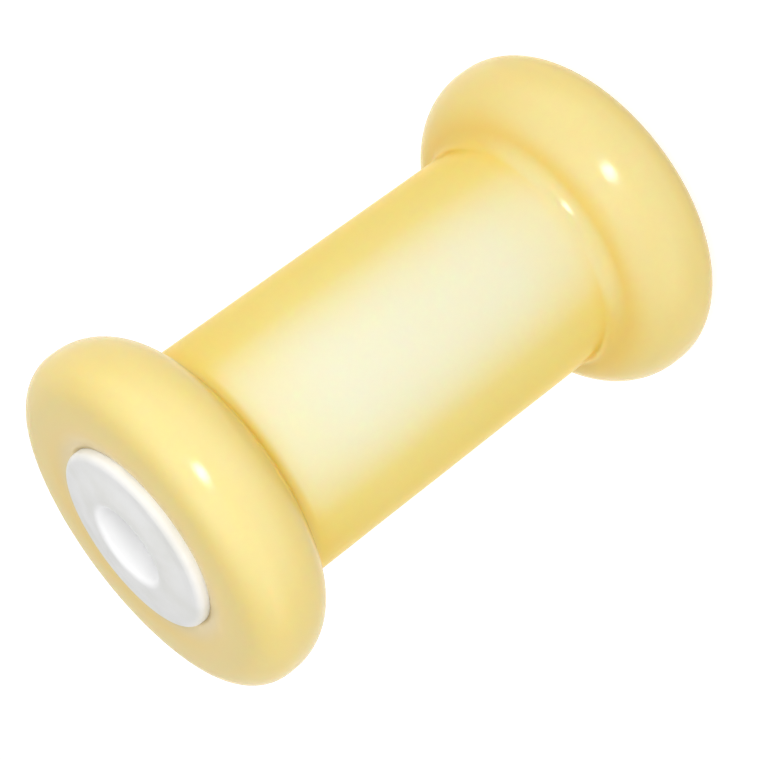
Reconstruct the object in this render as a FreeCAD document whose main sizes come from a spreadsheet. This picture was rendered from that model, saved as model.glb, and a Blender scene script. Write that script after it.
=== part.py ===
import FreeCAD, Part
import math
import os

import Sketcher

# Keel roller for a boat trailer: a soft spool moulded round a stiff core with a shaft bore.
# Millimetres. The roller stands on one end, with its axis along +Z and the lower end at z = 0.
# Each piece is drawn as its upper half, from the middle plane up, and then mirrored.
SIZES = {
    # Stiff core
    "roller_length": 127.0,        # over the two hub rings of the core
    "core_radius": 19.5,
    "bore_radius": 8.3,            # clears a shaft of 15.9 mm
    "bore_mouth_round": 1.3,       # lead-in for the shaft
    "hub_ring_width": 3.4,         # raised ring round the bore, which bears on the bracket
    "hub_ring_rise": 1.2,          # how far the ring stands above the rest of the core's end
    "hub_ring_draft": 0.4,         # how far the side of the ring leans
    "hub_ring_edge_round": 0.35,   # softened edge of the ring
    "shoulder_round": 1.5,         # outer edge of the core's end

    # Soft spool
    "crown_drop": 2.0,             # from the hub ring down to the crown of the end face
    "barrel_radius": 25.4,
    "flange_radius": 36.8,
    "crest_width": 1.3,            # straight stretch where the flange is widest
    "root_round": 4.0,             # hollow between the barrel and the flange
    "flank_round": 11.5,           # from the hollow to the flange's crest
    "corner_round": 7.4,           # from the crest to the end face
    "crown_round": 40.0,           # section of the end face, outside its crown
    "crown_ring_radius": 25.5,     # where the end face is highest
    "collar_round": 8.0,           # from the crown down to the core
}

# How far a circle's radius may be from the one looked for
PICK_TOLERANCE = 0.001

# The sketcher's numbers for its two axes and for the points of a line or an arc
RADIAL_AXIS = -1
ORIGIN = (-1, 1)
START = 1
END = 2
CENTRE = 3

doc = FreeCAD.newDocument("trailer_roller")


def fill_size_sheet():
    """Give every driving dimension a cell, with its name as the alias."""
    sheet = doc.addObject("Spreadsheet::Sheet", "Sizes")
    for row, (name, value) in enumerate(SIZES.items(), start=1):
        sheet.set(f"A{row}", name)
        sheet.set(f"B{row}", str(value))
        sheet.setAlias(f"B{row}", name)
    doc.recompute()


def add_body(name):
    """Start a piece whose middle plane is half the roller's length above the floor."""
    body = doc.addObject("PartDesign::Body", name)
    body.Label = name
    body.setExpression("Placement.Base.z", "Sizes.roller_length / 2")
    return body


def origin_plane(body, role):
    """Find one of the body's own origin planes, such as XY_Plane."""
    planes = [item for item in body.Origin.OriginFeatures if item.Role == role]
    return planes[0]


def add_sketch(body, name, role):
    """Start a sketch on one of the body's origin planes."""
    sketch = body.newObject("Sketcher::SketchObject", name)
    sketch.AttachmentSupport = [(origin_plane(body, role), "")]
    sketch.MapMode = "FlatFace"
    return sketch


def tie(sketch, name, expression, kind, *place):
    """Add a dimension to the sketch, name it and bind it to the sheet."""
    index = sketch.addConstraint(Sketcher.Constraint(kind, *place))
    sketch.renameConstraint(index, name)
    sketch.setExpression(f"Constraints.{name}", expression)


def add_line(sketch, start, end):
    """Draw a line between two (radius, height) points and return its number."""
    line = Part.LineSegment(FreeCAD.Vector(*start, 0), FreeCAD.Vector(*end, 0))
    return sketch.addGeometry(line, False)


def add_arc(sketch, centre, radius, start, end):
    """Draw an arc anticlockwise from one (radius, height) point to another."""
    first = math.atan2(start[1] - centre[1], start[0] - centre[0])
    last = math.atan2(end[1] - centre[1], end[0] - centre[0])
    if last < first:
        last += 2 * math.pi
    circle = Part.Circle(FreeCAD.Vector(*centre, 0), FreeCAD.Vector(0, 0, 1), radius)
    return sketch.addGeometry(Part.ArcOfCircle(circle, first, last), False)


def towards(start, target, distance):
    """The point at a distance from start on the line through target."""
    reach = math.dist(start, target)
    return tuple(a + (b - a) * distance / reach for a, b in zip(start, target))


def top_ring(feature, radius):
    """Name the highest circular edge of the given radius."""
    rings = []
    for number, edge in enumerate(feature.Shape.Edges, start=1):
        curve = edge.Curve
        if isinstance(curve, Part.Circle) and abs(curve.Radius - radius) < PICK_TOLERANCE:
            rings.append((curve.Center.z, f"Edge{number}"))
    return max(rings)[1]


def add_round(body, name, base, radius, size):
    """Round the top edge of the given radius by the named size."""
    doc.recompute()
    rounding = body.newObject("PartDesign::Fillet", name)
    rounding.Base = (base, [top_ring(base, radius)])
    rounding.setExpression("Radius", f"Sizes.{size}")
    return rounding


def add_mirror(body, base):
    """Mirror the finished upper half in the middle plane."""
    mirror = body.newObject("PartDesign::Mirrored", f"{body.Name}_lower_half")
    mirror.Originals = [base]
    mirror.TransformMode = "Whole shape"
    mirror.MirrorPlane = (origin_plane(body, "XY_Plane"), [""])
    mirror.Refine = True
    body.Tip = mirror
    doc.recompute()


def make_hub_core():
    """The stiff core: a thick tube with a raised hub ring round the bore at each end."""
    shoulder_height = SIZES["roller_length"] / 2 - SIZES["hub_ring_rise"]
    ring_outside = SIZES["bore_radius"] + SIZES["hub_ring_width"]
    foot_outside = ring_outside + SIZES["hub_ring_draft"]
    body = add_body("hub_core")

    # Tube, up to the shoulder
    outline = add_sketch(body, "core_outline", "XY_Plane")
    for size in ("bore_radius", "core_radius"):
        circle = Part.Circle(FreeCAD.Vector(), FreeCAD.Vector(0, 0, 1), SIZES[size])
        number = outline.addGeometry(circle, False)
        outline.addConstraint(Sketcher.Constraint("Coincident", number, CENTRE, *ORIGIN))
        tie(outline, size, f"Sizes.{size}", "Radius", number, SIZES[size])
    tube = body.newObject("PartDesign::Pad", "core_tube")
    tube.Profile = outline
    tube.setExpression("Length", "Sizes.roller_length / 2 - Sizes.hub_ring_rise")
    doc.recompute()

    # Hub ring on the shoulder, a little wider at its foot
    foot_in = (SIZES["bore_radius"], shoulder_height)
    foot_out = (foot_outside, shoulder_height)
    top_out = (ring_outside, shoulder_height + SIZES["hub_ring_rise"])
    top_in = (SIZES["bore_radius"], shoulder_height + SIZES["hub_ring_rise"])
    section = add_sketch(body, "hub_ring_section", "XZ_Plane")
    corners = (foot_in, foot_out, top_out, top_in)
    sides = [add_line(section, a, b) for a, b in zip(corners, corners[1:] + corners[:1])]
    foot, outer_side, top, bore_side = sides
    for line, following in zip(sides, sides[1:] + sides[:1]):
        section.addConstraint(Sketcher.Constraint("Coincident", line, END, following, START))
    for direction, line in (("Horizontal", foot), ("Horizontal", top), ("Vertical", bore_side)):
        section.addConstraint(Sketcher.Constraint(direction, line))
    tie(section, "shoulder_height", "Sizes.roller_length / 2 - Sizes.hub_ring_rise",
        "DistanceY", *ORIGIN, foot, START, shoulder_height)
    tie(section, "rise", "Sizes.hub_ring_rise",
        "DistanceY", outer_side, START, outer_side, END, SIZES["hub_ring_rise"])
    tie(section, "bore_radius", "Sizes.bore_radius",
        "DistanceX", *ORIGIN, foot, START, SIZES["bore_radius"])
    tie(section, "ring_width", "Sizes.hub_ring_width",
        "DistanceX", top, END, top, START, SIZES["hub_ring_width"])
    tie(section, "draft", "Sizes.hub_ring_draft",
        "DistanceX", outer_side, END, outer_side, START, SIZES["hub_ring_draft"])
    hub_ring = body.newObject("PartDesign::Revolution", "hub_ring")
    hub_ring.Profile = section
    hub_ring.ReferenceAxis = (section, ["V_Axis"])
    hub_ring.Angle = 360
    hub_ring.Refine = True

    # Edges
    softened = add_round(body, "hub_ring_edge", hub_ring, ring_outside, "hub_ring_edge_round")
    shoulder = add_round(body, "shoulder", softened, SIZES["core_radius"], "shoulder_round")
    mouth = add_round(body, "bore_mouth", shoulder, SIZES["bore_radius"], "bore_mouth_round")
    add_mirror(body, mouth)
    return body


def make_roller_body():
    """The soft spool: one section of tangent arcs, turned round the axis."""
    hole = SIZES["core_radius"]
    barrel = SIZES["barrel_radius"]
    crest = SIZES["flange_radius"]
    root_round = SIZES["root_round"]
    flank_round = SIZES["flank_round"]
    corner_round = SIZES["corner_round"]
    crown_round = SIZES["crown_round"]
    collar_round = SIZES["collar_round"]

    # Centres of the arcs, as (radius, height), from the end face down to the barrel
    crown_top = (SIZES["crown_ring_radius"], SIZES["roller_length"] / 2 - SIZES["crown_drop"])
    crown = (crown_top[0], crown_top[1] - crown_round)
    collar = (crown_top[0], crown_top[1] - collar_round)
    corner_out = crest - corner_round - crown[0]
    corner_rise = math.sqrt((crown_round - corner_round) ** 2 - corner_out ** 2)
    corner = (crest - corner_round, crown[1] + corner_rise)
    flank = (crest - flank_round, corner[1] - SIZES["crest_width"])
    root_out = barrel + root_round - flank[0]
    root_drop = math.sqrt((flank_round + root_round) ** 2 - root_out ** 2)
    root = (barrel + root_round, flank[1] - root_drop)

    # Where the pieces of the section meet
    hole_foot = (hole, 0)
    barrel_foot = (barrel, 0)
    barrel_top = (barrel, root[1])
    root_to_flank = towards(root, flank, root_round)
    crest_low = (crest, flank[1])
    crest_high = (crest, corner[1])
    corner_to_crown = towards(crown, corner, crown_round)
    hole_top = (hole, collar[1] + math.sqrt(collar_round ** 2 - (collar[0] - hole) ** 2))

    body = add_body("roller_body")
    section = add_sketch(body, "spool_section", "XZ_Plane")
    middle_line = add_line(section, hole_foot, barrel_foot)
    barrel_line = add_line(section, barrel_foot, barrel_top)
    root_arc = add_arc(section, root, root_round, root_to_flank, barrel_top)
    flank_arc = add_arc(section, flank, flank_round, root_to_flank, crest_low)
    crest_line = add_line(section, crest_low, crest_high)
    corner_arc = add_arc(section, corner, corner_round, crest_high, corner_to_crown)
    crown_arc = add_arc(section, crown, crown_round, corner_to_crown, crown_top)
    collar_arc = add_arc(section, collar, collar_round, crown_top, hole_top)
    hole_line = add_line(section, hole_top, hole_foot)

    # Corners at the middle plane and where the end face meets the core, smooth joints elsewhere
    joints = (
        ("Coincident", middle_line, END, barrel_line, START),
        ("Tangent", barrel_line, END, root_arc, END),
        ("Tangent", root_arc, START, flank_arc, START),
        ("Tangent", flank_arc, END, crest_line, START),
        ("Tangent", crest_line, END, corner_arc, START),
        ("Tangent", corner_arc, END, crown_arc, START),
        ("Tangent", crown_arc, END, collar_arc, START),
        ("Vertical", crown_arc, CENTRE, collar_arc, CENTRE),
        ("Coincident", collar_arc, END, hole_line, START),
        ("Coincident", hole_line, END, middle_line, START),
        ("PointOnObject", middle_line, START, RADIAL_AXIS),
        ("PointOnObject", middle_line, END, RADIAL_AXIS),
        ("Vertical", barrel_line),
        ("Vertical", crest_line),
        ("Vertical", hole_line),
    )
    for joint in joints:
        section.addConstraint(Sketcher.Constraint(*joint))

    tie(section, "hole_radius", "Sizes.core_radius",
        "DistanceX", *ORIGIN, hole_line, END, hole)
    tie(section, "barrel_radius", "Sizes.barrel_radius",
        "DistanceX", *ORIGIN, barrel_line, START, barrel)
    tie(section, "flange_radius", "Sizes.flange_radius",
        "DistanceX", *ORIGIN, crest_line, START, crest)
    tie(section, "crest_width", "Sizes.crest_width",
        "DistanceY", crest_line, START, crest_line, END, SIZES["crest_width"])
    tie(section, "crown_ring", "Sizes.crown_ring_radius",
        "DistanceX", *ORIGIN, crown_arc, CENTRE, crown[0])
    tie(section, "crown_height",
        "Sizes.roller_length / 2 - Sizes.crown_drop - Sizes.crown_round",
        "DistanceY", *ORIGIN, crown_arc, CENTRE, crown[1])
    arcs = {
        "root_round": root_arc,
        "flank_round": flank_arc,
        "corner_round": corner_arc,
        "crown_round": crown_arc,
        "collar_round": collar_arc,
    }
    for size, arc in arcs.items():
        tie(section, size, f"Sizes.{size}", "Radius", arc, SIZES[size])

    upper_half = body.newObject("PartDesign::Revolution", "spool_upper_half")
    upper_half.Profile = section
    upper_half.ReferenceAxis = (section, ["V_Axis"])
    upper_half.Angle = 360
    doc.recompute()
    add_mirror(body, upper_half)
    return body


def check_document(bodies):
    """Stop if any object failed, or if a piece isn't one sound solid."""
    for item in doc.Objects:
        if "Invalid" in item.State or "Error" in item.State:
            raise RuntimeError(f"{item.Label} failed: {item.State}")
    for body in bodies:
        shape = body.Shape
        if shape.isNull() or not shape.isValid() or len(shape.Solids) != 1:
            raise RuntimeError(f"{body.Label} isn't one valid solid")


def export_pieces(bodies):
    """Write each piece to a file of its own and print its size."""
    os.makedirs("parts", exist_ok=True)
    for body in bodies:
        body.Shape.exportStep(f"parts/{body.Label}.step")
        box = body.Shape.optimalBoundingBox(False, False)
        print(f"{body.Label}: {box.XLength:.2f} x {box.YLength:.2f} x {box.ZLength:.2f} mm, "
              f"lowest z {box.ZMin:.3f}, volume {body.Shape.Volume / 1000:.2f} cm3")


fill_size_sheet()
pieces = [make_hub_core(), make_roller_body()]
doc.recompute()
check_document(pieces)
export_pieces(pieces)
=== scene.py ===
import math

import bpy
from mathutils import Matrix, Vector


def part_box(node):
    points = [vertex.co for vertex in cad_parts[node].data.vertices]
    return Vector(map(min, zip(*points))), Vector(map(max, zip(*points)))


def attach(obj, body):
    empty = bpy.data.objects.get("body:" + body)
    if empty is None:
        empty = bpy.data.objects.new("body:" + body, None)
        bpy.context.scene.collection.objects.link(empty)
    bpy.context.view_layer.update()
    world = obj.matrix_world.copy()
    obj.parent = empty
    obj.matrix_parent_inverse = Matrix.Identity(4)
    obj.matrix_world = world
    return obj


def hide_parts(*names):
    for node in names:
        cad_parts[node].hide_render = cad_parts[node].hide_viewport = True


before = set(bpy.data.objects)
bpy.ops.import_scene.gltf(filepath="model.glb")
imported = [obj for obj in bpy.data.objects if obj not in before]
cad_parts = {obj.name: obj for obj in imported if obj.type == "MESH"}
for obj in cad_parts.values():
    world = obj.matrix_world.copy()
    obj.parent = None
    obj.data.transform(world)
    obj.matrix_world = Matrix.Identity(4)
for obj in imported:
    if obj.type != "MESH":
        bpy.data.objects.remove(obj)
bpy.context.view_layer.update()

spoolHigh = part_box("roller_body")[1]
coreLow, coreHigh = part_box("hub_core")
middleHeight = (coreLow.z + coreHigh.z) / 2
halfLength = (coreHigh.z - coreLow.z) / 2
coreRadius = coreHigh.x
flangeRadius = spoolHigh.x
print("frame loaded, roller length", round(2 * halfLength, 4))


# Node helpers

def addNode(tree, kind, x=0, y=0, **settings):
    node = tree.nodes.new(kind)
    node.location = (x, y)
    for name, value in settings.items():
        setattr(node, name, value)
    return node


def setInput(node, name, value):
    node.inputs[name].default_value = value


def mathNode(tree, operation, first, second=None):
    # Either side may be a socket or a number
    node = addNode(tree, "ShaderNodeMath", operation=operation)
    for socket, value in zip(node.inputs, (first, second)):
        if value is None:
            continue
        if isinstance(value, (int, float)):
            socket.default_value = value
        else:
            tree.links.new(value, socket)
    return node.outputs[0]


# Sections: (radius, height) points, the height counted from the roller's middle plane

def arcPoints(centre, radius, fromAngle, toAngle, step):
    # Angles in degrees, from the outward direction towards the end face
    count = max(2, math.ceil(abs(toAngle - fromAngle) / step))
    points = []
    for index in range(count + 1):
        angle = math.radians(fromAngle + (toAngle - fromAngle) * index / count)
        points.append((centre[0] + radius * math.cos(angle), centre[1] + radius * math.sin(angle)))
    return points


def angleTo(start, end):
    return math.degrees(math.atan2(end[1] - start[1], end[0] - start[0]))


def linePoints(start, end, count):
    # Without its two ends
    return [tuple(a + (b - a) * i / count for a, b in zip(start, end)) for i in range(1, count)]


def closeSection(upperHalf):
    # The lower half is the upper one seen in the middle plane, walked the other way
    lowerHalf = [(radius, -height) for radius, height in reversed(upperHalf)]
    return upperHalf + lowerHalf


def makeSectionCurve(name, points):
    curve = bpy.data.curves.new(name, "CURVE")
    curve.dimensions = "3D"
    spline = curve.splines.new("POLY")
    spline.points.add(len(points) - 1)
    for point, (radius, height) in zip(spline.points, points):
        point.co = (radius, 0, height + middleHeight, 1)
    return curve


# Turned pieces: one tree turns a section round the axis and adds the casting's slight unevenness

turning = {
    "mergeReach": 2e-6,   # metres, closes both seams
    "waveDetail": 1.0,
}


def makeTurningTree():
    tree = bpy.data.node_groups.new("turnedPiece", "GeometryNodeTree")
    sockets = (
        ("Geometry", "Geometry"),
        ("Segments", "Int"),
        ("Uneven Depth", "Float"),
        ("Uneven Scale", "Float"),
        ("Uneven Seed", "Float"),
        ("Finish", "Material"),
    )
    for label, kind in sockets:
        tree.interface.new_socket(label, in_out="INPUT", socket_type="NodeSocket" + kind)
    tree.interface.new_socket("Geometry", in_out="OUTPUT", socket_type="NodeSocketGeometry")
    inputs = addNode(tree, "NodeGroupInput", -1400, 0)
    outputs = addNode(tree, "NodeGroupOutput", 1400, 0)
    link = tree.links.new

    # A grid with one row for each segment and one column for each point of the section
    section = addNode(tree, "GeometryNodeCurveToPoints", -1200, 300, mode="EVALUATED")
    link(inputs.outputs["Geometry"], section.inputs["Curve"])
    counted = addNode(tree, "GeometryNodeAttributeDomainSize", -1000, 300, component="POINTCLOUD")
    link(section.outputs["Points"], counted.inputs["Geometry"])
    columns = counted.outputs["Point Count"]
    rows = mathNode(tree, "ADD", inputs.outputs["Segments"], 1)
    grid = addNode(tree, "GeometryNodeMeshGrid", -700, 100)
    link(rows, grid.inputs["Vertices X"])
    link(columns, grid.inputs["Vertices Y"])

    # Each vertex takes its section point and turns it to its row's angle
    index = addNode(tree, "GeometryNodeInputIndex", -900, -200).outputs[0]
    row = mathNode(tree, "FLOOR", mathNode(tree, "DIVIDE", index, columns))
    column = mathNode(tree, "MODULO", index, columns)
    share = mathNode(tree, "DIVIDE", row, inputs.outputs["Segments"])
    turn = mathNode(tree, "MULTIPLY", share, 2 * math.pi)
    place = addNode(tree, "GeometryNodeInputPosition", -900, -400).outputs[0]
    sample = addNode(tree, "GeometryNodeSampleIndex", -300, -200, domain="POINT")
    sample.data_type = "FLOAT_VECTOR"
    link(section.outputs["Points"], sample.inputs["Geometry"])
    link(place, sample.inputs["Value"])
    link(column, sample.inputs["Index"])
    turned = addNode(tree, "ShaderNodeVectorRotate", 0, -200, rotation_type="Z_AXIS")
    link(sample.outputs["Value"], turned.inputs["Vector"])
    link(turn, turned.inputs["Angle"])
    shaped = addNode(tree, "GeometryNodeSetPosition", 200, 100)
    link(grid.outputs["Mesh"], shaped.inputs["Geometry"])
    link(turned.outputs["Vector"], shaped.inputs["Position"])
    merged = addNode(tree, "GeometryNodeMergeByDistance", 400, 100)
    setInput(merged, "Distance", turning["mergeReach"])
    link(shaped.outputs["Geometry"], merged.inputs["Geometry"])

    # Slight waves of the casting, along the normal
    noise = addNode(tree, "ShaderNodeTexNoise", 300, -300, noise_dimensions="4D")
    setInput(noise, "Detail", turning["waveDetail"])
    link(place, noise.inputs["Vector"])
    link(inputs.outputs["Uneven Scale"], noise.inputs["Scale"])
    link(inputs.outputs["Uneven Seed"], noise.inputs["W"])
    wave = mathNode(tree, "SUBTRACT", noise.outputs[0], 0.5)
    height = mathNode(tree, "MULTIPLY", wave, inputs.outputs["Uneven Depth"])
    normal = addNode(tree, "GeometryNodeInputNormal", 500, -500).outputs[0]
    offset = addNode(tree, "ShaderNodeVectorMath", 700, -300, operation="SCALE")
    link(normal, offset.inputs[0])
    link(height, offset.inputs["Scale"])
    waved = addNode(tree, "GeometryNodeSetPosition", 700, 100)
    link(merged.outputs["Geometry"], waved.inputs["Geometry"])
    link(offset.outputs[0], waved.inputs["Offset"])

    smooth = addNode(tree, "GeometryNodeSetShadeSmooth", 900, 100)
    link(waved.outputs["Geometry"], smooth.inputs["Geometry"])
    real = addNode(tree, "GeometryNodeRealizeInstances", 1050, 100)
    link(smooth.outputs["Geometry"], real.inputs["Geometry"])
    finished = addNode(tree, "GeometryNodeSetMaterial", 1200, 100)
    link(real.outputs["Geometry"], finished.inputs["Geometry"])
    link(inputs.outputs["Finish"], finished.inputs["Material"])
    link(finished.outputs["Geometry"], outputs.inputs["Geometry"])
    return tree


def turnPiece(name, section, shape, tree, finish):
    curve = makeSectionCurve(name + "Section", section)
    holder = bpy.data.objects.new(name + "Section", curve)
    bpy.context.scene.collection.objects.link(holder)
    modifier = holder.modifiers.new("turnedPiece", "NODES")
    modifier.node_group = tree
    inputs = [item for item in tree.interface.items_tree if item.in_out == "INPUT"]
    identifiers = {item.name: item.identifier for item in inputs}
    values = {
        "Segments": shape["segments"],
        "Uneven Depth": shape["unevenDepth"],
        "Uneven Scale": shape["unevenScale"],
        "Uneven Seed": shape["unevenSeed"],
        "Finish": finish,
    }
    for label, value in values.items():
        modifier[identifiers[label]] = value
    depsgraph = bpy.context.evaluated_depsgraph_get()
    mesh = bpy.data.meshes.new_from_object(holder.evaluated_get(depsgraph), depsgraph=depsgraph)
    mesh.name = name
    holder.modifiers.remove(modifier)
    bpy.data.objects.remove(holder)
    bpy.data.curves.remove(curve)
    piece = bpy.data.objects.new(name, mesh)
    bpy.context.scene.collection.objects.link(piece)
    print(name, "turned,", len(mesh.polygons), "faces")
    return piece


# Soft spool

spoolShape = {
    "barrelRadius": 0.0254,
    "crestWidth": 0.0013,
    "rootRound": 0.0040,
    "flankRound": 0.0115,
    "cornerRound": 0.0074,
    "crownRound": 0.0400,
    "crownRing": 0.0255,
    "collarRound": 0.0140,
    "coreGap": 0.00004,
    "barrelSteps": 24,
    "arcStep": 5.0,
    "crownStep": 2.0,
    "segments": 224,
    "unevenDepth": 0.00010,
    "unevenScale": 55.0,
    "unevenSeed": 3.0,
}


def spoolSection(shape):
    hole = coreRadius + shape["coreGap"]
    barrel = shape["barrelRadius"]
    crownTop = spoolHigh.z - middleHeight
    crown = (shape["crownRing"], crownTop - shape["crownRound"])
    collar = (shape["crownRing"], crownTop - shape["collarRound"])
    cornerOut = flangeRadius - shape["cornerRound"]
    cornerReach = shape["crownRound"] - shape["cornerRound"]
    cornerRise = math.sqrt(cornerReach ** 2 - (cornerOut - crown[0]) ** 2)
    corner = (cornerOut, crown[1] + cornerRise)
    flank = (flangeRadius - shape["flankRound"], corner[1] - shape["crestWidth"])
    rootOut = barrel + shape["rootRound"]
    rootReach = shape["flankRound"] + shape["rootRound"]
    rootDrop = math.sqrt(rootReach ** 2 - (rootOut - flank[0]) ** 2)
    root = (rootOut, flank[1] - rootDrop)

    step = shape["arcStep"]
    toRoot = angleTo(flank, root)
    toCorner = angleTo(crown, corner)
    toHole = 90 + math.degrees(math.asin((collar[0] - hole) / shape["collarRound"]))
    upper = [(barrel, root[1] * i / shape["barrelSteps"]) for i in range(shape["barrelSteps"])]
    upper += arcPoints(root, shape["rootRound"], 180, toRoot + 180, step)
    upper += arcPoints(flank, shape["flankRound"], toRoot, 0, step)[1:]
    upper += arcPoints(corner, shape["cornerRound"], 0, toCorner, step)
    upper += arcPoints(crown, shape["crownRound"], toCorner, 90, shape["crownStep"])[1:]
    upper += arcPoints(collar, shape["collarRound"], 90, toHole, step)[1:]
    upper.append((hole, 0))
    return closeSection(upper)


def makeSpool(tree, finish):
    piece = turnPiece("urethaneSpool", spoolSection(spoolShape), spoolShape, tree, finish)
    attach(piece, "root")
    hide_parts("roller_body")


# Stiff core

coreShape = {
    "boreRadius": 0.0083,
    "mouthRound": 0.0013,
    "hubRingWidth": 0.0034,
    "hubRingRise": 0.0010,
    "hubRingDraft": 0.0042,
    "softEdge": 0.0070,
    "shoulderRound": 0.0015,
    "arcStep": 10.0,
    "wallSteps": 12,
    "segments": 160,
    "unevenDepth": 0.00003,
    "unevenScale": 90.0,
    "unevenSeed": 7.0,
}


def softCorner(before, corner, after, radius, step):
    # Arc that rounds a corner between two straight stretches
    first = Vector(before) - Vector(corner)
    second = Vector(after) - Vector(corner)
    halfAngle = first.angle(second) / 2
    bisector = (first.normalized() + second.normalized()).normalized()
    centre = Vector(corner) + bisector * radius / math.sin(halfAngle)
    reach = radius / math.tan(halfAngle)
    start = Vector(corner) + first.normalized() * reach
    end = Vector(corner) + second.normalized() * reach
    fromAngle = angleTo(centre, start)
    sweep = (angleTo(centre, end) - fromAngle + 180) % 360 - 180
    return arcPoints(centre, radius, fromAngle, fromAngle + sweep, step)


def coreSection(shape):
    bore = shape["boreRadius"]
    top = halfLength
    shoulder = top - shape["hubRingRise"]
    ringEdge = bore + shape["hubRingWidth"]
    corners = [
        ((bore, top), shape["mouthRound"]),
        ((ringEdge, top), shape["softEdge"]),
        ((ringEdge + shape["hubRingDraft"], shoulder), shape["softEdge"]),
        ((coreRadius, shoulder), shape["shoulderRound"]),
    ]
    path = [(bore, 0)] + [corner for corner, radius in corners] + [(coreRadius, 0)]
    upper = [(bore, 0)] + linePoints((bore, 0), (bore, top - shape["mouthRound"]), shape["wallSteps"])
    for index, (corner, radius) in enumerate(corners):
        upper += softCorner(path[index], corner, path[index + 2], radius, shape["arcStep"])
    upper.append((coreRadius, 0))
    return closeSection(upper[::-1])


def makeCore(tree, finish):
    piece = turnPiece("mouldedCore", coreSection(coreShape), coreShape, tree, finish)
    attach(piece, "root")
    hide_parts("hub_core")


# Finishes

mouldedSkin = {
    "waveDetail": 3.0,
    "grainDetail": 2.0,
}


def makeSkinGroup():
    # Slow waves and fine grain for a moulded skin: a mask for colour, and a height
    group = bpy.data.node_groups.new("mouldedSkin", "ShaderNodeTree")
    for label in ("Wave Scale", "Grain Scale", "Grain Share"):
        group.interface.new_socket(label, in_out="INPUT", socket_type="NodeSocketFloat")
    for label in ("Cloud", "Height"):
        group.interface.new_socket(label, in_out="OUTPUT", socket_type="NodeSocketFloat")
    inputs = addNode(group, "NodeGroupInput", -800, 0)
    outputs = addNode(group, "NodeGroupOutput", 600, 0)
    place = addNode(group, "ShaderNodeTexCoord", -800, -200).outputs["Object"]
    waves = addNode(group, "ShaderNodeTexNoise", -400, 200)
    setInput(waves, "Detail", mouldedSkin["waveDetail"])
    grain = addNode(group, "ShaderNodeTexNoise", -400, -200)
    setInput(grain, "Detail", mouldedSkin["grainDetail"])
    for noise, scale in ((waves, "Wave Scale"), (grain, "Grain Scale")):
        group.links.new(place, noise.inputs["Vector"])
        group.links.new(inputs.outputs[scale], noise.inputs["Scale"])
    share = mathNode(group, "MULTIPLY", grain.outputs[0], inputs.outputs["Grain Share"])
    group.links.new(waves.outputs[0], outputs.inputs["Cloud"])
    group.links.new(mathNode(group, "ADD", waves.outputs[0], share), outputs.inputs["Height"])
    return group


def startMaterial(name):
    material = bpy.data.materials.new(name)
    material.use_nodes = True
    tree = material.node_tree
    tree.nodes.clear()
    shader = addNode(tree, "ShaderNodeBsdfPrincipled", 600, 0)
    output = addNode(tree, "ShaderNodeOutputMaterial", 1000, 0)
    tree.links.new(shader.outputs["BSDF"], output.inputs["Surface"])
    return material, tree, shader


def placeSkin(tree, group, look):
    skin = addNode(tree, "ShaderNodeGroup", -600, -300, node_tree=group)
    setInput(skin, "Wave Scale", look["waveScale"])
    setInput(skin, "Grain Scale", look["grainScale"])
    setInput(skin, "Grain Share", look["grainShare"])
    return skin


def mapRange(tree, value, low, high, toLow=0.0, toHigh=1.0, kind="SMOOTHSTEP"):
    node = addNode(tree, "ShaderNodeMapRange", interpolation_type=kind)
    tree.links.new(value, node.inputs["Value"])
    for name, number in (("From Min", low), ("From Max", high), ("To Min", toLow), ("To Max", toHigh)):
        setInput(node, name, number)
    return node.outputs["Result"]


def radiusOf(tree, place):
    # Distance from the roller's axis
    flat = addNode(tree, "ShaderNodeVectorMath", -1200, 0, operation="MULTIPLY")
    tree.links.new(place, flat.inputs[0])
    flat.inputs[1].default_value = (1, 1, 0)
    length = addNode(tree, "ShaderNodeVectorMath", -1000, 0, operation="LENGTH")
    tree.links.new(flat.outputs[0], length.inputs[0])
    return length.outputs["Value"]


def finishSkin(tree, shader, skin, look):
    # Sheen and slight relief
    setInput(shader, "Roughness", look["roughness"])
    bump = addNode(tree, "ShaderNodeBump", 300, -400)
    setInput(bump, "Strength", look["bump"])
    setInput(bump, "Distance", look["bumpDistance"])
    tree.links.new(skin.outputs["Height"], bump.inputs["Height"])
    tree.links.new(bump.outputs["Normal"], shader.inputs["Normal"])
    setInput(shader, "IOR", look["ior"])
    setInput(shader, "Specular IOR Level", look["specular"])


def mixNodes(tree, kind, amount, first, second):
    # Either side may be a socket or a plain value
    node = addNode(tree, "ShaderNodeMix", data_type=kind)
    enabled = [socket for socket in node.inputs if socket.enabled]
    for socket, value in zip(enabled, (amount, first, second)):
        if isinstance(value, bpy.types.NodeSocket):
            tree.links.new(value, socket)
        else:
            socket.default_value = value
    return [socket for socket in node.outputs if socket.enabled][0]


def mixColours(tree, amount, first, second):
    return mixNodes(tree, "RGBA", amount, first, second)


def mixNumbers(tree, amount, first, second):
    return mixNodes(tree, "FLOAT", amount, first, second)


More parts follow.
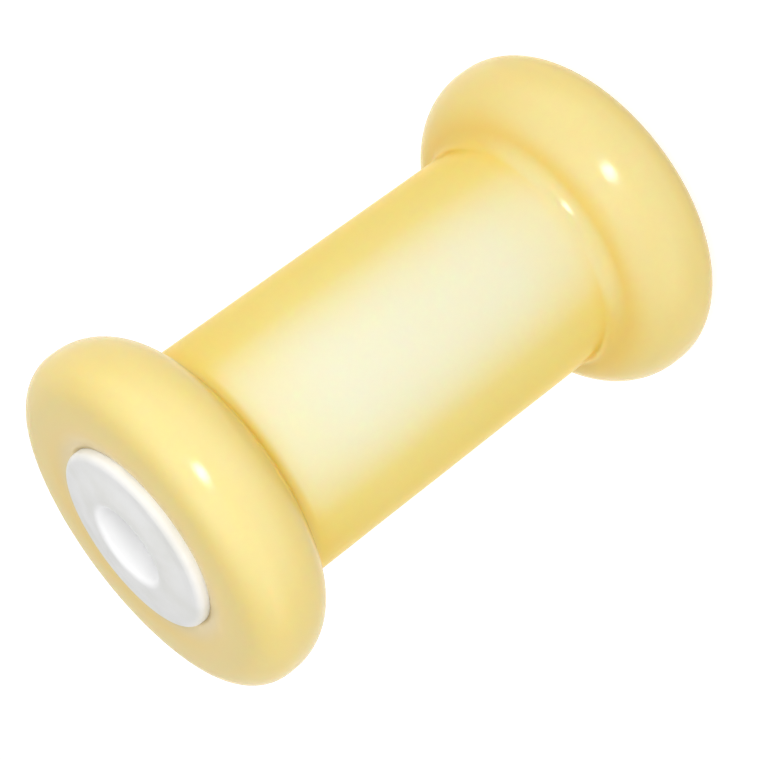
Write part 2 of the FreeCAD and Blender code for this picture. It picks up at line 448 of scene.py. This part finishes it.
urethane = {
    "clear": (0.990, 0.950, 0.900),     # colour with no depth at all
    "absorption": (0.0, 0.21, 1.02),    # how fast red, green and blue fade with depth
    "barrelDepth": 0.27,
    "paintedEndBounceDepth": 0.16,             # painted yellow bounce light from the flanges, added towards the barrel's ends
    "paintedEndBounce": (0.018, 0.038),        # levels: heights from the middle plane
    "flangeDepth": 0.95,
    "flangeStart": (0.037, 0.046),
    "hollowPaintedShadeDepth": 0.38,                # painted shade and yellow bounce light, added in the hollows
    "hollowPaintedShadeStart": (0.034, 0.041),
    "hollowPaintedShadeRadii": (0.027, 0.034),
    "endLevel": (0.056, 0.058),
    "collarDepth": 0.30,                # beside the core, where the flange is thin again
    "collarRadii": (0.0195, 0.0245),
    "roughness": 0.18,
    "ior": 1.5,
    "specular": 0.50,
    "coatTint": (1.0, 0.88, 0.50, 1),   # amber, which tells where the skin is seen at a slant
    "coatIor": 1.1,
    "coatRoughness": 0.30,
    "slantBlend": 0.5,
    "coatSlant": (0.04, 0.41),          # where the coat sets in and where it is full
    "coatOnFlange": 0.35,               # share of the coat on the thick flanges
    "waveScale": 45.0,
    "grainScale": 1400.0,
    "grainShare": 0.15,
    "bump": 0.03,
    "bumpDistance": 0.001,
    "rimRadii": (0.0205, 0.0290),       # scatter fades out towards the core
    "scatterDepth": 0.003,
    "scatterColours": (0.7, 0.5, 0.25),
}


def makeDepth(tree, look):
    # Depth of urethane by place, with painted bounce light towards the barrel's ends and painted shade
    # in the hollows, and the shares of the flange and of the rim beside the core
    place = addNode(tree, "ShaderNodeTexCoord", -1400, 200).outputs["Object"]
    parts = addNode(tree, "ShaderNodeSeparateXYZ", -1200, 200)
    tree.links.new(place, parts.inputs[0])
    level = mathNode(tree, "ABSOLUTE", mathNode(tree, "SUBTRACT", parts.outputs["Z"], middleHeight))
    radius = radiusOf(tree, place)

    # Painted bounce light: the barrel is made more amber towards its ends, standing in for yellow
    # light thrown back by the flanges
    paintedEndBounce = mapRange(tree, level, *look["paintedEndBounce"], 0.0, look["paintedEndBounceDepth"])
    barrel = mathNode(tree, "ADD", paintedEndBounce, look["barrelDepth"])
    flangeShare = mapRange(tree, level, *look["flangeStart"])
    depth = mixNumbers(tree, flangeShare, barrel, look["flangeDepth"])
    # Painted shade: the root hollows beside the flanges get a deeper, darker amber, where shade and
    # yellow bounce light fall
    paintedHollowShade = mapRange(tree, level, *look["hollowPaintedShadeStart"], 0.0, look["hollowPaintedShadeDepth"])
    paintedHollowShadeShare = mapRange(tree, radius, *look["hollowPaintedShadeRadii"], 1.0, 0.0)
    paintedHollowShade = mathNode(tree, "MULTIPLY", paintedHollowShade, paintedHollowShadeShare)
    endShare = mapRange(tree, level, *look["endLevel"])
    paintedHollowShade = mathNode(tree, "MULTIPLY", paintedHollowShade, mathNode(tree, "SUBTRACT", 1.0, endShare))
    depth = mathNode(tree, "ADD", depth, paintedHollowShade)
    collarShare = mapRange(tree, radius, *look["collarRadii"], 1.0, 0.0)
    collarShare = mathNode(tree, "MULTIPLY", endShare, collarShare)
    depth = mixNumbers(tree, collarShare, depth, look["collarDepth"])
    rimShare = mapRange(tree, radius, *look["rimRadii"], 1.0, 0.0)
    rimShare = mathNode(tree, "MULTIPLY", endShare, rimShare)
    return depth, flangeShare, rimShare


def makeUrethane(skinGroup):
    look = urethane
    material, tree, shader = startMaterial("castUrethane")
    link = tree.links.new
    depth, flangeShare, rimShare = makeDepth(tree, look)
    colour = addNode(tree, "ShaderNodeCombineColor", 300, 200)
    for socket, clear, rate in zip(colour.inputs, look["clear"], look["absorption"]):
        fade = mathNode(tree, "EXPONENT", mathNode(tree, "MULTIPLY", depth, -rate))
        link(mathNode(tree, "MULTIPLY", fade, clear), socket)
    link(colour.outputs[0], shader.inputs["Base Color"])

    # The glossy skin, clear from straight ahead and amber at a slant
    slant = addNode(tree, "ShaderNodeLayerWeight", -1000, 500)
    setInput(slant, "Blend", look["slantBlend"])
    coat = mapRange(tree, slant.outputs["Facing"], *look["coatSlant"])
    coatShare = mixNumbers(tree, flangeShare, 1.0, look["coatOnFlange"])
    link(mathNode(tree, "MULTIPLY", coat, coatShare), shader.inputs["Coat Weight"])
    setInput(shader, "Coat Tint", look["coatTint"])
    setInput(shader, "Coat IOR", look["coatIor"])
    setInput(shader, "Coat Roughness", look["coatRoughness"])

    # Light goes a little way in, but isn't lost beside the core
    link(mathNode(tree, "SUBTRACT", 1.0, rimShare), shader.inputs["Subsurface Weight"])
    setInput(shader, "Subsurface Scale", look["scatterDepth"])
    setInput(shader, "Subsurface Radius", look["scatterColours"])
    skin = placeSkin(tree, skinGroup, look)
    finishSkin(tree, shader, skin, look)
    return material


whitePlastic = {
    "clean": (0.94, 0.94, 0.93, 1),
    "dull": (0.88, 0.88, 0.85, 1),
    "bore": (0.97, 0.97, 0.97, 1),      # painted light: a lighter colour inside the bore, standing in for light that reaches it
    "paintedBoreLightRadii": (0.0087, 0.0100),
    "paintedBoreGlow": (0.04, 0.04, 0.04, 1),   # painted glow: the bore's wall glows a little, though no lamp is there
    "noPaintedGlow": (0, 0, 0, 1),
    "paintedGlowStrength": 1.0,
    "paintedGlowRadii": (0.0084, 0.0090),
    "shadeRange": (0.35, 0.7),
    "roughness": 0.50,
    "ior": 1.5,
    "specular": 0.3,
    "waveScale": 120.0,
    "grainScale": 2500.0,
    "grainShare": 0.4,
    "bump": 0.05,
    "bumpDistance": 0.001,
}


def makeWhitePlastic(skinGroup):
    look = whitePlastic
    material, tree, shader = startMaterial("whiteCorePlastic")
    skin = placeSkin(tree, skinGroup, look)
    shade = mapRange(tree, skin.outputs["Cloud"], *look["shadeRange"])
    face = mixColours(tree, shade, look["clean"], look["dull"])
    place = addNode(tree, "ShaderNodeTexCoord", -1400, 200).outputs["Object"]
    radius = radiusOf(tree, place)
    # Painted light: the bore gets a lighter colour than the end faces
    paintedBoreLightShare = mapRange(tree, radius, *look["paintedBoreLightRadii"], 1.0, 0.0)
    tree.links.new(mixColours(tree, paintedBoreLightShare, face, look["bore"]), shader.inputs["Base Color"])
    # Painted glow: a faint emission on the bore's wall, standing in for light in the bore
    paintedGlowShare = mapRange(tree, radius, *look["paintedGlowRadii"], 1.0, 0.0)
    paintedGlow = mixColours(tree, paintedGlowShare, look["noPaintedGlow"], look["paintedBoreGlow"])
    tree.links.new(paintedGlow, shader.inputs["Emission Color"])
    setInput(shader, "Emission Strength", look["paintedGlowStrength"])
    finishSkin(tree, shader, skin, look)
    return material


# Camera

shot = {
    "elevation": 25.1,          # degrees that the camera looks down on the standing roller
    "axisAngle": 36.9,          # degrees between the roller's axis and the picture's rows
    "distance": 7.053,          # from the roller's middle, in half lengths
    "pixelsPerHalf": 325.0,     # pixels of the photograph in a half length at that distance
    "centre": (376.8, 360.2),   # the roller's middle in the photograph
    "frameSize": 760,
    "sensor": 36.0,
    "nearest": 0.01,
}


def makeCamera():
    tilt = math.radians(shot["elevation"])
    roll = -math.radians(90 + shot["axisAngle"])
    back = Vector((0, -math.cos(tilt), math.sin(tilt)))
    levelRight = Vector((1, 0, 0))
    levelUp = back.cross(levelRight)
    right = levelRight * math.cos(roll) + levelUp * math.sin(roll)
    up = levelUp * math.cos(roll) - levelRight * math.sin(roll)
    turn = Matrix((right, up, back)).transposed()
    across = [(value - shot["frameSize"] / 2) / shot["pixelsPerHalf"] for value in shot["centre"]]
    toCentre = Vector((across[0], -across[1], -shot["distance"])) * halfLength
    middle = Vector((0, 0, middleHeight))
    camera = bpy.data.cameras.new("camera")
    camera.sensor_width = shot["sensor"]
    camera.lens = shot["pixelsPerHalf"] * shot["distance"] * shot["sensor"] / shot["frameSize"]
    camera.clip_start = shot["nearest"]
    holder = bpy.data.objects.new("camera", camera)
    holder.matrix_world = Matrix.Translation(middle - turn @ toCentre) @ turn.to_4x4()
    bpy.context.scene.collection.objects.link(holder)
    bpy.context.scene.camera = holder
    return holder


# Studio

studio = {
    "floorSize": 6.0,
    "floorColour": (0.65, 0.65, 0.65, 1),
    "floorGlow": 0.74,
    "white": (1, 1, 1, 1),
    "horizonLight": 0.04,            # strength of the world at the horizon
    "zenithLight": 0.40,             # and overhead
    "sideLight": 3.15,               # low panels on the left and right
    "backLight": 2.40,               # low panel behind
    "panelHeights": (0.1, 0.7),      # where the panels fade out upwards
    "sideDepths": (-0.2, 0.6),       # where the side panels fade out backwards
    "flashPower": 0.65,
    "flashSize": (0.07, 0.20),       # across and upwards
    "flashOffset": (-0.03, 0.045),   # right and up of the camera, in metres
    "softPower": 0.60,
    "softSize": (0.7, 0.7),
    "softElevation": 50.0,           # degrees, on the camera's side
    "softDistance": 0.6,
}


def seenDirectly(tree):
    # 1 for what the camera sees straight, in a reflection or through glass
    seen = addNode(tree, "ShaderNodeLightPath", -600, 0)
    direct = mathNode(tree, "MAXIMUM", seen.outputs["Is Camera Ray"], seen.outputs["Is Glossy Ray"])
    return mathNode(tree, "MAXIMUM", direct, seen.outputs["Is Transmission Ray"])


def mixShaders(tree, share, first, second):
    choose = addNode(tree, "ShaderNodeMixShader", 200, 0)
    for socket, value in zip(choose.inputs, (share, first, second)):
        tree.links.new(value, socket)
    return choose.outputs[0]


def makeFloor():
    half = studio["floorSize"] / 2
    corners = [(-half, -half, 0), (half, -half, 0), (half, half, 0), (-half, half, 0)]
    mesh = bpy.data.meshes.new("studioFloor")
    mesh.from_pydata(corners, [], [(0, 1, 2, 3)])
    floor = bpy.data.objects.new("studioFloor", mesh)
    bpy.context.scene.collection.objects.link(floor)
    material = bpy.data.materials.new("floorPaper")
    material.use_nodes = True
    tree = material.node_tree
    tree.nodes.clear()
    paper = addNode(tree, "ShaderNodeBsdfDiffuse", 0, 100)
    setInput(paper, "Color", studio["floorColour"])
    glow = addNode(tree, "ShaderNodeEmission", 0, -100)
    setInput(glow, "Strength", studio["floorGlow"])
    noGlow = addNode(tree, "ShaderNodeEmission", 0, -250)
    setInput(noGlow, "Strength", 0.0)
    shown = mixShaders(tree, seenDirectly(tree), noGlow.outputs[0], glow.outputs[0])
    both = addNode(tree, "ShaderNodeAddShader", 400, 0)
    tree.links.new(paper.outputs[0], both.inputs[0])
    tree.links.new(shown, both.inputs[1])
    output = addNode(tree, "ShaderNodeOutputMaterial", 600, 0)
    tree.links.new(both.outputs[0], output.inputs["Surface"])
    mesh.materials.append(material)


def panelLight(tree):
    # Strength of the world by direction: overhead light, and low panels left, right and behind
    direction = addNode(tree, "ShaderNodeTexCoord", -800, 300)
    parts = addNode(tree, "ShaderNodeSeparateXYZ", -600, 300)
    tree.links.new(direction.outputs["Generated"], parts.inputs[0])
    across, depth, height = parts.outputs
    overall = (studio["horizonLight"], studio["zenithLight"])
    strength = mapRange(tree, height, 0.0, 1.0, *overall, "LINEAR")
    low = mapRange(tree, height, *studio["panelHeights"], 1.0, 0.0)
    forward = mapRange(tree, depth, *studio["sideDepths"], 1.0, 0.0)
    behind = mathNode(tree, "MAXIMUM", depth, 0.0)
    side = mathNode(tree, "MULTIPLY", mathNode(tree, "MULTIPLY", across, across), forward)
    back = mathNode(tree, "MULTIPLY", behind, behind)
    for panel, light in ((side, "sideLight"), (back, "backLight")):
        panel = mathNode(tree, "MULTIPLY", mathNode(tree, "MULTIPLY", panel, low), studio[light])
        strength = mathNode(tree, "ADD", strength, panel)
    return strength


def makeWorld():
    world = bpy.data.worlds.new("studioWorld")
    bpy.context.scene.world = world
    world.use_nodes = True
    tree = world.node_tree
    tree.nodes.clear()
    ambient = addNode(tree, "ShaderNodeBackground", 0, 100)
    plain = addNode(tree, "ShaderNodeBackground", 0, -100)
    for background in (ambient, plain):
        setInput(background, "Color", studio["white"])
    tree.links.new(panelLight(tree), ambient.inputs["Strength"])
    shown = mixShaders(tree, seenDirectly(tree), ambient.outputs[0], plain.outputs[0])
    output = addNode(tree, "ShaderNodeOutputWorld", 400, 0)
    tree.links.new(shown, output.inputs["Surface"])


def makeLamp(name, place, target, power, size):
    light = bpy.data.lights.new(name, "AREA")
    light.shape = "ELLIPSE"
    light.size, light.size_y = size
    light.energy = power
    lamp = bpy.data.objects.new(name, light)
    direction = target - place
    turn = direction.to_track_quat("-Z", "Y").to_matrix()
    lamp.matrix_world = Matrix.Translation(place) @ turn.to_4x4()
    bpy.context.scene.collection.objects.link(lamp)


def makeLights(camera):
    middle = Vector((0, 0, middleHeight))
    axes = camera.matrix_world.to_3x3()
    across, above = studio["flashOffset"]
    flashPlace = camera.matrix_world.translation + axes @ Vector((across, above, 0))
    makeLamp("flash", flashPlace, middle, studio["flashPower"], studio["flashSize"])
    tilt = math.radians(studio["softElevation"])
    softPlace = middle + Vector((0, -math.cos(tilt), math.sin(tilt))) * studio["softDistance"]
    makeLamp("softLight", softPlace, middle, studio["softPower"], studio["softSize"])


camera = makeCamera()
makeFloor()
makeWorld()
makeLights(camera)
print("studio made")

skinGroup = makeSkinGroup()
turningTree = makeTurningTree()
makeSpool(turningTree, makeUrethane(skinGroup))
makeCore(turningTree, makeWhitePlastic(skinGroup))
print("pieces made")

bpy.context.scene.view_settings.view_transform = "Standard"
